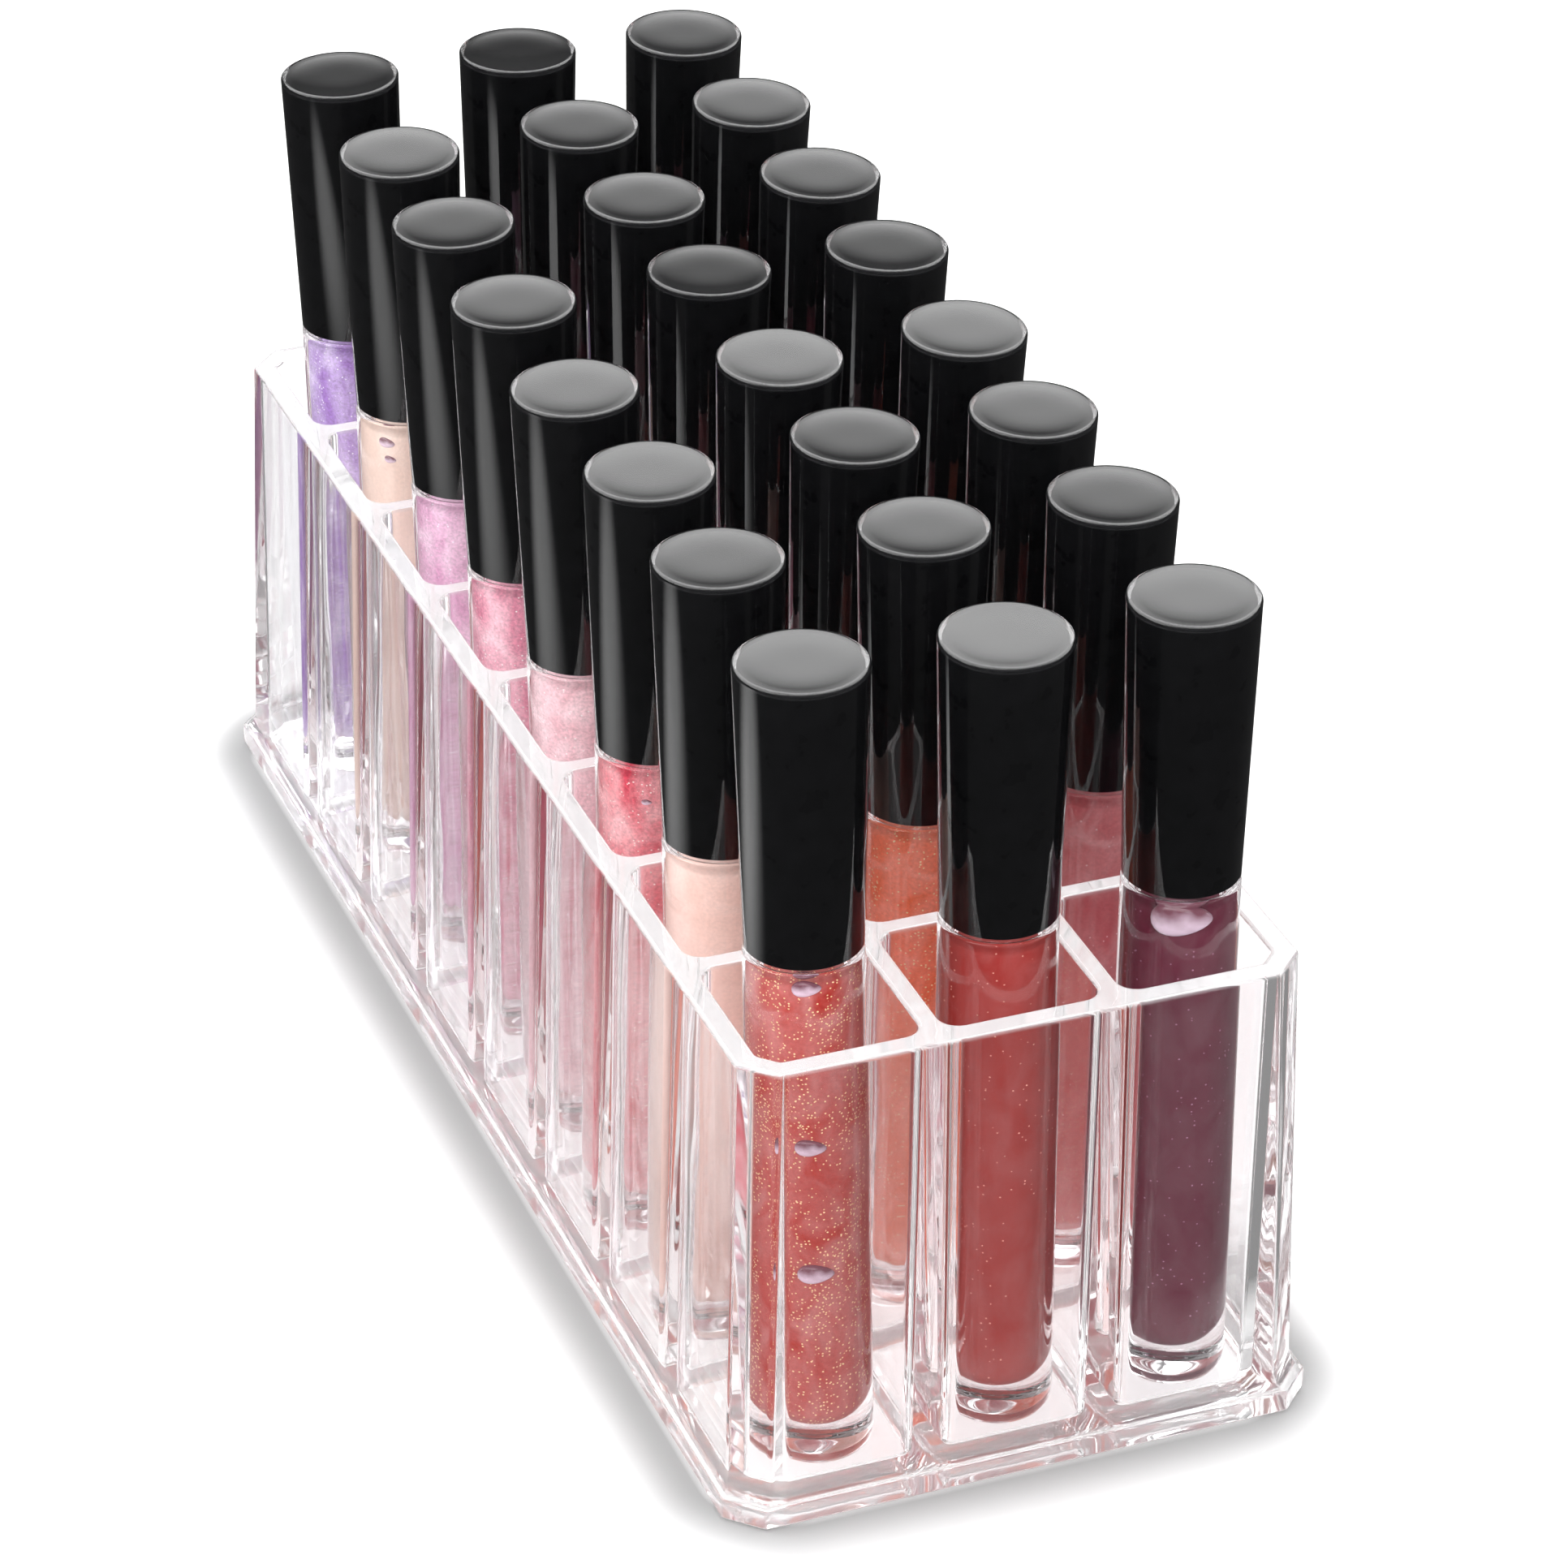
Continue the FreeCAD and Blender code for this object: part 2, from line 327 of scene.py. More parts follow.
def past_outline(tree, spot, reach, corner):
    """How far a place lies past an upright box with round corners about the Z axis. Inside it is negative."""
    past = []
    for axis, size in zip("XY", reach):
        along = node(tree, "ShaderNodeMath", [(0, spot.outputs[axis])], operation="ABSOLUTE")
        far = node(tree, "ShaderNodeMath", [(0, along.outputs["Value"]), (1, size - corner)],
                   operation="SUBTRACT")
        over = node(tree, "ShaderNodeMath", [(0, far.outputs["Value"]), (1, 0)], operation="MAXIMUM")
        past.append((axis, over.outputs["Value"]))
    both = node(tree, "ShaderNodeCombineXYZ", past)
    away = node(tree, "ShaderNodeVectorMath", [(0, both.outputs["Vector"])], operation="LENGTH")
    least = node(tree, "ShaderNodeMath", [(0, away.outputs["Value"]), (1, corner)], operation="SUBTRACT")
    return least.outputs["Value"]


def clear_plastic(name, tint, wave, roughness, shade, foot_shade=None):
    """Clear plastic with a faint moulded waviness. Lamps shine through it. With a foot shade it is the tray's.
    Then the foot, where it is thick, lets less light by, and rim and foot are a little milky."""
    made, tree, out = start_material(name)
    drawn = local_mm(tree, (1, 1, 0.3))
    ripple = node(tree, "ShaderNodeTexNoise", [("Vector", drawn)], Scale=0.11, Detail=1.0)
    bump = node(tree, "ShaderNodeBump", [("Height", ripple.outputs["Fac"])], Strength=wave, Distance=MM)
    smear = node(tree, "ShaderNodeTexNoise", [("Vector", local_mm(tree))], Scale=0.5, Detail=4.0)
    haze = node(tree, "ShaderNodeMapRange", [("Value", smear.outputs["Fac"])], From_Min=0.35, From_Max=0.75,
                To_Min=roughness * 0.3, To_Max=roughness)
    body = node(tree, "ShaderNodeBsdfPrincipled",
                [("Normal", bump.outputs["Normal"]), ("Roughness", haze.outputs["Result"])],
                Base_Color=(*tint, 1), IOR=PLASTIC_IOR, Transmission_Weight=1.0)
    open_air = node(tree, "ShaderNodeBsdfTransparent", Color=(*shade, 1))
    if foot_shade:
        spot = node(tree, "ShaderNodeSeparateXYZ", [("Vector", local_mm(tree))])
        height = spot.outputs["Z"]
        past = past_outline(tree, spot, FOOT_BAND, FOOT_BAND_CORNER)
        edge = node(tree, "ShaderNodeMapRange", [("Value", past)], From_Max=1.0, To_Min=shade[0],
                    To_Max=foot_shade)
        thick = node(tree, "ShaderNodeMapRange", [("Value", height), ("To Min", edge.outputs["Result"])],
                     From_Min=FOOT_SHADE_TOP[0], From_Max=FOOT_SHADE_TOP[1], To_Max=shade[0])
        tree.links.new(thick.outputs["Result"], open_air.inputs["Color"])
        low = node(tree, "ShaderNodeMapRange", [("Value", height)], From_Min=FOOT_MILKY[0],
                   From_Max=FOOT_MILKY[1], To_Min=1.0, To_Max=FOOT_CLARITY)
        milky = node(tree, "ShaderNodeMapRange", [("Value", height), ("To Min", low.outputs["Result"])],
                     From_Min=RIM_HEIGHT - RIM_MILKY[0], From_Max=RIM_HEIGHT - RIM_MILKY[1],
                     To_Max=RIM_CLARITY)
        tree.links.new(milky.outputs["Result"], body.inputs["Transmission Weight"])
    path = node(tree, "ShaderNodeLightPath")
    both = node(tree, "ShaderNodeMixShader", [(0, path.outputs["Is Shadow Ray"]), (1, body.outputs["BSDF"]),
                                              (2, open_air.outputs["BSDF"])])
    tree.links.new(both.outputs["Shader"], out.inputs["Surface"])
    return made


def srgb(red, green, blue):
    """A colour given in 0-255 steps as linear values."""
    return tuple((c / 255 / 12.92) if c / 255 <= 0.04045 else ((c / 255 + 0.055) / 1.055) ** 2.4
                 for c in (red, green, blue))


def gloss_material(name, colour, pearl, glitter, fleck, seed):
    """Lip gloss: a tinted body with pearly swirls, and flecks of glitter in drifts.
    Lamps shine through it, tinted."""
    made, tree, out = start_material(name)
    shift = (seed * 7.3, seed * 3.1, seed * 11.7)
    even = local_mm(tree, (1, 1, 1), shift)
    swirl = node(tree, "ShaderNodeTexNoise", [("Vector", local_mm(tree, (1, 1, 0.55), shift))],
                 Scale=0.24, Detail=4.0, Distortion=0.8)
    fine = node(tree, "ShaderNodeTexNoise", [("Vector", even)], Scale=2.6, Detail=2.0)
    dark = tuple(c * (1 - 0.3 * pearl) for c in colour)
    light = tuple(c + (1 - c) * 0.6 * pearl for c in colour)
    swirled = two_tone(tree, swirl.outputs["Fac"], (0.3, dark), (0.75, light))
    grain = node(tree, "ShaderNodeMapRange", [("Value", fine.outputs["Fac"])], From_Min=0.3, From_Max=0.7,
                 To_Min=1 - 0.25 * pearl, To_Max=1 + 0.25 * pearl)
    body_colour = node(tree, "ShaderNodeVectorMath", [(0, swirled), (1, grain.outputs["Result"])],
                       operation="MULTIPLY")
    flakes = node(tree, "ShaderNodeTexVoronoi", [("Vector", even)], Scale=FLAKE_SCALE)
    drift = node(tree, "ShaderNodeTexNoise", [("Vector", local_mm(tree, (1, 1, 0.6), shift))],
                 Scale=0.2, Detail=3.0)
    chance = node(tree, "ShaderNodeMapRange", [("Value", drift.outputs["Fac"])], From_Min=0.32, From_Max=0.66,
                  To_Min=0.0, To_Max=glitter)
    pick = node(tree, "ShaderNodeSeparateColor", [("Color", flakes.outputs["Color"])])
    chosen = node(tree, "ShaderNodeMath", [(0, pick.outputs["Red"]), (1, chance.outputs["Result"])],
                  operation="LESS_THAN")
    small = node(tree, "ShaderNodeMath", [(0, flakes.outputs["Distance"]), (1, FLAKE_RADIUS)],
                 operation="LESS_THAN")
    mask = node(tree, "ShaderNodeMath", [(0, chosen.outputs["Value"]), (1, small.outputs["Value"])],
                operation="MULTIPLY")
    shine = node(tree, "ShaderNodeMath", [(0, mask.outputs["Value"]), (1, FLAKE_METAL)], operation="MULTIPLY")
    shown = node(tree, "ShaderNodeMix", data_type="RGBA")
    tree.links.new(mask.outputs["Value"], shown.inputs[0])
    tree.links.new(body_colour.outputs["Vector"], shown.inputs[6])
    shown.inputs[7].default_value = (*fleck, 1)
    tilt = node(tree, "ShaderNodeVectorMath", [(0, flakes.outputs["Color"]), (1, (0.5, 0.5, 0.5))],
                operation="SUBTRACT")
    lean = node(tree, "ShaderNodeVectorMath", [(0, tilt.outputs["Vector"]), ("Scale", mask.outputs["Value"])],
                operation="SCALE")
    face = node(tree, "ShaderNodeNewGeometry")
    turned = node(tree, "ShaderNodeVectorMath", [(0, face.outputs["Normal"]), (1, lean.outputs["Vector"])],
                  operation="ADD")
    straight = node(tree, "ShaderNodeVectorMath", [(0, turned.outputs["Vector"])], operation="NORMALIZE")
    body = node(tree, "ShaderNodeBsdfPrincipled",
                [("Base Color", shown.outputs[2]), ("Metallic", shine.outputs["Value"]),
                 ("Normal", straight.outputs["Vector"])], Roughness=0.32, Specular_IOR_Level=0.05)
    passed = tuple(GLOSS_PASSED * math.sqrt(c) for c in colour)
    through = node(tree, "ShaderNodeBsdfTransparent", Color=(*passed, 1))
    path = node(tree, "ShaderNodeLightPath")
    both = node(tree, "ShaderNodeMixShader", [(0, path.outputs["Is Shadow Ray"]), (1, body.outputs["BSDF"]),
                                              (2, through.outputs["BSDF"])])
    tree.links.new(both.outputs["Shader"], out.inputs["Surface"])
    return made


def painted_light_bubble_skin(name, dark, light):
    """The skin of an air bubble in gloss, with painted light: painted shade at its upper edge and a painted
    pearly highlight below.
    """
    made, tree, out = start_material(name)
    stir = node(tree, "ShaderNodeTexNoise", [("Vector", local_mm(tree))], Scale=1.4, Detail=2.0)
    spot = node(tree, "ShaderNodeSeparateXYZ", [("Vector", local_mm(tree))])
    mixed = node(tree, "ShaderNodeMath", [(0, spot.outputs["Z"]), (1, stir.outputs["Fac"])], operation="ADD")
    # Painted shade and highlight: the tone runs from the painted highlight low on the bubble to the painted
    # shade at its top, stirred by noise
    tone = two_tone(tree, mixed.outputs["Value"], (0.1, light), (0.95, dark))
    body = node(tree, "ShaderNodeBsdfPrincipled", [("Base Color", tone)], Roughness=0.15,
                Specular_IOR_Level=0.6)
    tree.links.new(body.outputs["BSDF"], out.inputs["Surface"])
    return made


def plain_plastic(name, colour, roughness, grain, shine=0.5, bumps=0.05):
    """Moulded plastic with a fine grain in its colour, gloss and surface."""
    made, tree, out = start_material(name)
    speck = node(tree, "ShaderNodeTexNoise", [("Vector", local_mm(tree))], Scale=grain, Detail=4.0)
    dark = tuple(c * 0.8 for c in colour)
    light = tuple(c * 1.2 for c in colour)
    tone = two_tone(tree, speck.outputs["Fac"], (0.3, dark), (0.7, light))
    gloss = node(tree, "ShaderNodeMapRange", [("Value", speck.outputs["Fac"])], From_Min=0.3, From_Max=0.7,
                 To_Min=roughness * 0.85, To_Max=roughness * 1.15)
    bump = node(tree, "ShaderNodeBump", [("Height", speck.outputs["Fac"])], Strength=bumps, Distance=0.0001)
    body = node(tree, "ShaderNodeBsdfPrincipled",
                [("Base Color", tone), ("Roughness", gloss.outputs["Result"]),
                 ("Normal", bump.outputs["Normal"])], Specular_IOR_Level=shine)
    tree.links.new(body.outputs["BSDF"], out.inputs["Surface"])
    return made


ACRYLIC = clear_plastic("clear_acrylic", (0.985, 0.985, 0.99), 0.07, 0.03, (0.995, 0.995, 0.995), FOOT_SHADE)
GLASS = clear_plastic("clear_bottle", (0.99, 0.98, 0.985), 0.02, 0.02, (0.995, 0.993, 0.993))
SLEEVE_CLEAR = clear_plastic("clear_sleeve", (0.97, 0.97, 0.98), 0.004, 0.03, (0.98, 0.98, 0.98))
BLACK = plain_plastic("black_cap", (0.004, 0.004, 0.0045), 0.3, 0.3, 0.04, 0.0)
STEM = plain_plastic("black_stem", (0.02, 0.02, 0.021), 0.35, 1.2)
WIPER = plain_plastic("milky_wiper", (0.8, 0.8, 0.8), 0.4, 0.8)
# Painted light on the bubbles: painted shade at the upper edge, a painted highlight below
BUBBLE_PAINTED_LIGHT = painted_light_bubble_skin("air_bubble_painted_light", (0.2, 0.07, 0.1), (0.86, 0.68, 0.82))


# The tray: one clear moulding
def outer_ring(height, outset=(0, 0)):
    """The tray's outline at a height, moved outwards by the outset. It flares towards the foot."""
    share = (RIM_HEIGHT - height) / (RIM_HEIGHT - FLOOR)
    x = RIM[0] + FLARE[0] * share + outset[0]
    y = RIM[1] + FLARE[1] * share + outset[1]
    a, b, r = x - CHAMFER, y - CHAMFER, CHAMFER_ROUND
    corners = [(x, -b, r), (x, b, r), (a, y, r), (-a, y, r), (-x, b, r), (-x, -b, r), (-a, -y, r), (a, -y, r)]
    return [(p, q, height) for p, q in rounded(corners, 3)]


def pocket_ring(column, row, height, inset):
    """The outline of a cell at a height, drawn in by the inset.
    A cell at the tray's corner has that corner cut."""
    x, y = CELL[0] / 2 - inset, CELL[1] / 2 - inset
    r = max(CELL_CORNER - inset, CELL_CORNER_LEAST)
    last_column, last_row = len(COLUMNS) - 1, ROWS - 1
    corners = []
    for sx, sy in ((1, -1), (1, 1), (-1, 1), (-1, -1)):
        at_corner = (column, sx) in ((0, -1), (last_column, 1)) and (row, sy) in ((0, -1), (last_row, 1))
        if not at_corner:
            corners.append((sx * x, sy * y, r))
            continue
        cut = [(sx * (x - CORNER_CUT), sy * y, CORNER_CUT_ROUND),
               (sx * x, sy * (y - CORNER_CUT), CORNER_CUT_ROUND)]
        corners += cut if sx * sy < 0 else cut[::-1]
    middle = ((column - last_column / 2) * PITCH[0], (row - last_row / 2) * PITCH[1])
    return [(p + middle[0], q + middle[1], height) for p, q in rounded(corners, 6)]


def quarter(steps):
    """Pairs (1 - cos, sin) of a quarter turn, from (0, 0) to (1, 1)."""
    angles = [math.pi / 2 * k / steps for k in range(steps + 1)]
    return [(1 - math.cos(angle), math.sin(angle)) for angle in angles]


def build_tray():
    """The whole tray as one closed mesh: its outside, its cells, and the flat rim between them."""
    verts, faces = [], []

    def ring(points):
        first = len(verts)
        verts.extend(points)
        return list(range(first, len(verts)))

    def bridge(rings):
        for lower, upper in zip(rings, rings[1:]):
            n = len(lower)
            for k in range(n):
                faces.append([lower[k], lower[(k + 1) % n], upper[(k + 1) % n], upper[k]])

    def plate(height, inset):
        share = (RIM_HEIGHT - height) / (RIM_HEIGHT - FLOOR)
        flat = [FLARE[i] * (1 - share) + PLATE_OUT - inset for i in range(2)]
        return outer_ring(height, flat)

    outside = [plate(PLATE_ROUND * a, PLATE_ROUND * (1 - b)) for a, b in quarter(3)]
    outside += [plate(PLATE_SIDE - PLATE_ROUND * (1 - b), PLATE_ROUND * a) for a, b in quarter(3)]
    rise = FOOT_SLOPE_TOP - PLATE_SIDE
    reach = PLATE_OUT - PLATE_ROUND
    for a, b in quarter(5)[1:]:
        outside.append(outer_ring(PLATE_SIDE + rise * a, [reach * (1 - b)] * 2))
    outside += [outer_ring(height) for height in WALL_LEVELS]
    outside += [outer_ring(RIM_HEIGHT - RIM_ROUND * (1 - b), [-RIM_ROUND * a] * 2) for a, b in quarter(4)]
    outer = [ring(points) for points in outside]
    bridge(outer)
    faces.append(outer[0][::-1])

    openings = []
    wall = RIM_HEIGHT - RIM_ROUND
    for column in range(len(COLUMNS)):
        for row in range(ROWS):
            levels = [(RIM_HEIGHT - RIM_ROUND * a, -RIM_ROUND * (1 - b)) for a, b in quarter(4)]
            for height in (*CELL_LEVELS, FLOOR + FLOOR_FILLET):
                levels.append((height, CELL_TAPER * (wall - height) / (wall - FLOOR)))
            base = levels[-1][1]
            levels += [(FLOOR + FLOOR_FILLET * (1 - b), base + FLOOR_FILLET * a) for a, b in quarter(4)[1:]]
            pocket = [ring(pocket_ring(column, row, height, inset)) for height, inset in levels]
            bridge(pocket)
            faces.append(pocket[-1])
            openings.append(pocket[0])

    # The rim is triangulated between the outline and the openings, and the triangles over a cell are dropped
    loops = [outer[-1]] + openings
    flat = [index for loop in loops for index in loop]
    place = {index: i for i, index in enumerate(flat)}
    edges = [(place[loop[k]], place[loop[(k + 1) % len(loop)]]) for loop in loops for k in range(len(loop))]
    made = delaunay_2d_cdt([Vector(verts[i][:2]) for i in flat], edges, [], 1, SAME_PLACE)
    sources = [flat[origins[0]] for origins in made[3]]
    cells = [set(opening) for opening in openings]
    for face in made[2]:
        corners = [sources[i] for i in face]
        if not any(cell.issuperset(corners) for cell in cells):
            faces.append(corners)
    built = add_object("tray_moulding", make_mesh("tray_moulding", verts, faces, ACRYLIC, 60))
    weigh = built.modifiers.new("even_normals", "WEIGHTED_NORMAL")
    weigh.mode = "FACE_AREA"
    weigh.weight = 100
    weigh.keep_sharp = True
    return built


tray = build_tray()
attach(tray, "tray")
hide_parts("base_plate", "front_wall", "rear_wall", "left_wall", "right_wall", "long_divider_left",
            "long_divider_right", "cross_dividers_a", "cross_dividers_b", "cross_dividers_c")


# The tubes' shared meshes
def neck_thread(r, z, angle):
    """The neck's radius, raised along the turns of its thread."""
    threaded = BOTTLE_LENGTH + THREAD_MARGIN < z < NECK_TOP - THREAD_MARGIN
    if abs(r - NECK_RADIUS) > 0.01 or not threaded:
        return r
    best = 0.0
    for lap in range(math.ceil(THREAD_TURNS) + 1):
        turn = angle / (2 * math.pi) + lap
        if turn > THREAD_TURNS:
            continue
        fade = min(1, turn / THREAD_FADE, (THREAD_TURNS - turn) / THREAD_FADE)
        gap = abs(z - BOTTLE_LENGTH - THREAD_START - THREAD_PITCH * turn)
        best = max(best, fade * max(0, 1 - (gap / THREAD_HALF_WIDTH) ** 2))
    return r + THREAD_HEIGHT * best


def bottle_profile():
    """The bottle, from the hollow under its base up over the neck and down its bore."""
    low = BOTTLE_LENGTH + NECK_ENDS[0]
    step = (NECK_TOP - NECK_ENDS[1] - low) / NECK_ROWS
    neck = [(NECK_RADIUS, low + i * step) for i in range(1, NECK_ROWS)]
    outside = [(0, BASE_HOLLOW), BASE_HOLLOW_EDGE, (BASE_RING, 0, 0.35), (BOTTLE_RADIUS, 0, BASE_ROUND)]
    outside += [(BOTTLE_RADIUS, level) for level in BOTTLE_LEVELS]
    outside += [(BOTTLE_RADIUS, BOTTLE_LENGTH, 0.45), (NECK_RADIUS, BOTTLE_LENGTH, 0.4)]
    inside = [(NECK_RADIUS, NECK_TOP, 0.35), (NECK_BORE, NECK_TOP, 0.3),
              (NECK_BORE, SHOULDER_BASE, SHOULDER_ROUND), (BORE_RADIUS, CONE_BASE, CONE_ROUND),
              (BORE_RADIUS, BORE_LEVEL), (BORE_RADIUS, BASE_THICKNESS, BORE_ROUND), (0, BASE_THICKNESS)]
    return rounded(outside + neck + inside)


def gloss_profile():
    """The gloss, which clings to the bottle's wall up into the neck and sinks to its level further in."""
    r, neck = BORE_RADIUS + GLOSS_LAP, NECK_BORE + GLOSS_LAP
    low, top = BASE_THICKNESS - GLOSS_LAP, WIPER_BASE - GLOSS_NECK_GAP
    wall = [(0, low), (r, low, BORE_ROUND + GLOSS_LAP), (r, BORE_LEVEL),
            (r, CONE_BASE + 2 * GLOSS_LAP, CONE_ROUND - ROUND_EASE),
            (neck, SHOULDER_BASE + 2 * GLOSS_LAP, SHOULDER_ROUND + ROUND_EASE), (neck, top)]
    film = [(neck - GLOSS_FILM[0], top), (neck - GLOSS_FILM[1], SHOULDER_BASE, 0.6),
            (r - GLOSS_DIP[0], GLOSS_TOP + GLOSS_DIP[1], 0.6)]
    channel = [(CHANNEL_RADIUS, GLOSS_TOP, 0.2), (CHANNEL_RADIUS, CHANNEL_BASE, 0.6), (0, CHANNEL_BASE)]
    return rounded(wall + film + channel)


def cap_radius(z):
    """The cap's outer radius at a height: it widens towards its top."""
    return CAP_RADII[0] + (CAP_RADII[1] - CAP_RADII[0]) * (z - CAP_BASE) / (CAP_TOP - CAP_BASE)


def sleeve_profile():
    """The clear sleeve, its top sunk a little towards the middle."""
    roof = CAP_TOP - SLEEVE_ROOF
    reach = cap_radius(CAP_TOP) - TOP_BAND
    shares = [k / TOP_RINGS for k in range(TOP_RINGS + 1)]
    sunk = [(reach * share, CAP_TOP - TOP_SINK * (1 - share ** 4)) for share in shares]
    side = [(cap_radius(CAP_TOP), CAP_TOP, 0.4), (cap_radius(CAP_BASE), CAP_BASE, 0.25),
            (cap_radius(CAP_BASE) - SLEEVE, CAP_BASE, 0.15), (cap_radius(roof) - SLEEVE, roof, 0.3),
            (0, roof)]
    return rounded(sunk + side)


def core_profile():
    """The black core inside the sleeve, with its socket for the neck and its hole for the wand."""
    low, top = CAP_BASE + CORE_RECESS, CAP_TOP - SLEEVE_ROOF + SLEEVE_LAP
    inset = SLEEVE - SLEEVE_LAP
    return rounded([(0, top), (cap_radius(top) - inset, top, 0.25), (cap_radius(low) - inset, low, 0.15),
                    (CORE_SOCKET, low, 0.2), (CORE_SOCKET, CORE_SOCKET_TOP, 0.4),
                    (PLUG_RADIUS, CORE_SOCKET_TOP), (PLUG_RADIUS, PLUG_TOP), (0, PLUG_TOP)])


def wiper_profile():
    """The wiper plug: a tube in the neck with a lip at its foot and a flange on the neck's top."""
    outer = NECK_BORE - WIPER_PLAY
    inner = outer - WIPER_WALL
    lip = WIPER_BASE + WIPER_LIP
    return rounded([(CHANNEL_RADIUS, WIPER_BASE, 0.2), (outer, WIPER_BASE, 0.3), (outer, NECK_TOP),
                    (NECK_RADIUS, NECK_TOP + WIPER_SEAT, 0.1), (NECK_RADIUS, WIPER_TOP, 0.25),
                    (inner, WIPER_TOP, 0.25), (inner, lip), (CHANNEL_RADIUS, lip, 0.2)])


def wand_profile():
    """The wand's stem, from inside the tip up to its plug in the core."""
    foot, end = TIP_TOP - TIP_SEAT, STEM_RADIUS * STEM_END_SHARE
    plug, top = PLUG_RADIUS - PLUG_PLAY, PLUG_TOP - PLUG_PLAY
    return rounded([(0, foot), (end, foot), (end, TIP_TOP + STEM_TAPER[0]),
                    (STEM_RADIUS, TIP_TOP + STEM_TAPER[1]), (STEM_RADIUS, CORE_SOCKET_TOP, 0.3),
                    (plug, CORE_SOCKET_TOP, 0.2), (plug, top, 0.3), (0, top)])


def tip_points():
    """A slant-cut applicator, its flat face towards +X."""
    side = [(TIP_RADIUS, TIP_BASE + level) for level in TIP_LEVELS]
    profile = [(0, TIP_BASE), (TIP_RADIUS, TIP_BASE, 1.2), *side, (TIP_RADIUS, TIP_TOP, 0.7), (0, TIP_TOP)]
    verts, faces = revolve(rounded(profile), segments=WAND_SEGMENTS)
    cut = []
    for x, y, z in verts:
        share = min(1, max(0, (z - TIP_BASE) / SLANT_LENGTH))
        cut.append((min(x, SLANT_START + SLANT_RISE * share ** SLANT_BEND), y, z))
    return cut, faces


def bubble_points():
    """A flattened bubble, one millimetre in its half-width, thin along X."""
    angles = [math.pi * k / BUBBLE_STEPS for k in range(1, BUBBLE_STEPS)]
    profile = [(0, -1), *[(math.sin(angle), -math.cos(angle)) for angle in angles], (0, 1)]
    verts, faces = revolve(profile, segments=2 * BUBBLE_STEPS)
    squeezed = [(BUBBLE_THIN_SHARE * x, y, BUBBLE_LOW_SHARE * z * (1 - BUBBLE_SKEW_SHARE * y))
                for x, y, z in verts]
    return squeezed, faces


def joint_axis(name):
    """The axis of a joint of the part."""
    return next(Vector(j["axis"]) for j in frame["joints"] if j["name"] == name)


def tube_place(tube):
    """Where a tube stands: its bottle's base, and its axis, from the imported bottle."""
    axis = joint_axis(f"bottle_{tube}_lift").normalized()
    turn = Vector((0, 0, 1)).rotation_difference(axis).to_matrix()
    spread = [turn.transposed() @ v.co for v in frame["nodes"][f"bottle_{tube}"].data.vertices]
    low = [min(p[i] for p in spread) for i in range(3)]
    high = [max(p[i] for p in spread) for i in range(3)]
    base = Vector(((low[0] + high[0]) / 2, (low[1] + high[1]) / 2, low[2]))
    return Matrix.Translation(turn @ base) @ turn.to_4x4()


# Each tube's gloss: its name, its colour, how pearly it is, how much it glitters, and the glitter's colour
SHADES = {
    "a1": ("copper", (190, 62, 54), 0.35, 0.9, (1.0, 0.72, 0.42)),
    "a2": ("pale_peach", (252, 212, 200), 0.25, 0.0, (1, 0.9, 0.8)),
    "a3": ("coral_rose", (238, 86, 106), 0.8, 0.22, (1, 0.78, 0.75)),
    "a4": ("light_pink", (253, 198, 208), 0.7, 0.15, (1, 0.92, 0.92)),
    "a5": ("pink", (246, 150, 178), 0.8, 0.25, (1, 0.9, 0.9)),
    "a6": ("orchid", (240, 174, 214), 0.7, 0.15, (1, 0.9, 1)),
    "a7": ("cream", (250, 222, 208), 0.2, 0.0, (1, 0.95, 0.9)),
    "a8": ("lilac", (190, 146, 226), 0.8, 0.3, (0.95, 0.9, 1)),
    "b1": ("brick", (168, 56, 52), 0.1, 0.08, (0.9, 0.42, 0.34)),
    "b2": ("orange_coral", (255, 116, 72), 0.4, 0.5, (1, 0.75, 0.45)),
    "b3": ("rose_red", (200, 62, 80), 0.3, 0.1, (1, 0.7, 0.6)),
    "b4": ("hot_pink", (224, 82, 120), 0.4, 0.1, (1, 0.8, 0.8)),
    "b5": ("salmon", (234, 112, 96), 0.4, 0.1, (1, 0.8, 0.7)),
    "b6": ("berry", (168, 52, 82), 0.3, 0.1, (1, 0.7, 0.7)),
    "b7": ("dusty_pink", (214, 140, 146), 0.4, 0.1, (1, 0.9, 0.9)),
    "b8": ("mauve", (170, 110, 150), 0.4, 0.1, (1, 0.85, 0.95)),
    "c1": ("plum", (106, 44, 62), 0.08, 0.08, (0.5, 0.25, 0.36)),
    "c2": ("rose_brown", (205, 98, 104), 0.3, 0.05, (1, 0.7, 0.7)),
    "c3": ("rose", (190, 95, 110), 0.3, 0.1, (1, 0.8, 0.8)),
    "c4": ("mulberry", (140, 50, 76), 0.3, 0.05, (1, 0.7, 0.7)),
    "c5": ("nude", (205, 150, 130), 0.3, 0.05, (1, 0.9, 0.8)),
    "c6": ("terracotta", (185, 90, 70), 0.3, 0.1, (1, 0.8, 0.6)),
    "c7": ("cherry", (160, 36, 50), 0.3, 0.05, (1, 0.6, 0.6)),
    "c8": ("raspberry", (190, 60, 100), 0.3, 0.1, (1, 0.7, 0.8)),
}

# Air bubbles in the gloss: the tube, the way round it in degrees, the height, and the half-width
BUBBLES = [("a1", -110, 48.0, 1.7), ("a1", -106, 29.0, 2.0), ("a7", -146, 70.0, 1.1), ("a7", -141, 67.4, 0.8),
           ("a1", -108, 70.9, 1.6), ("a3", -120, 68.0, 0.6), ("c1", -112, 70.6, 3.5)]

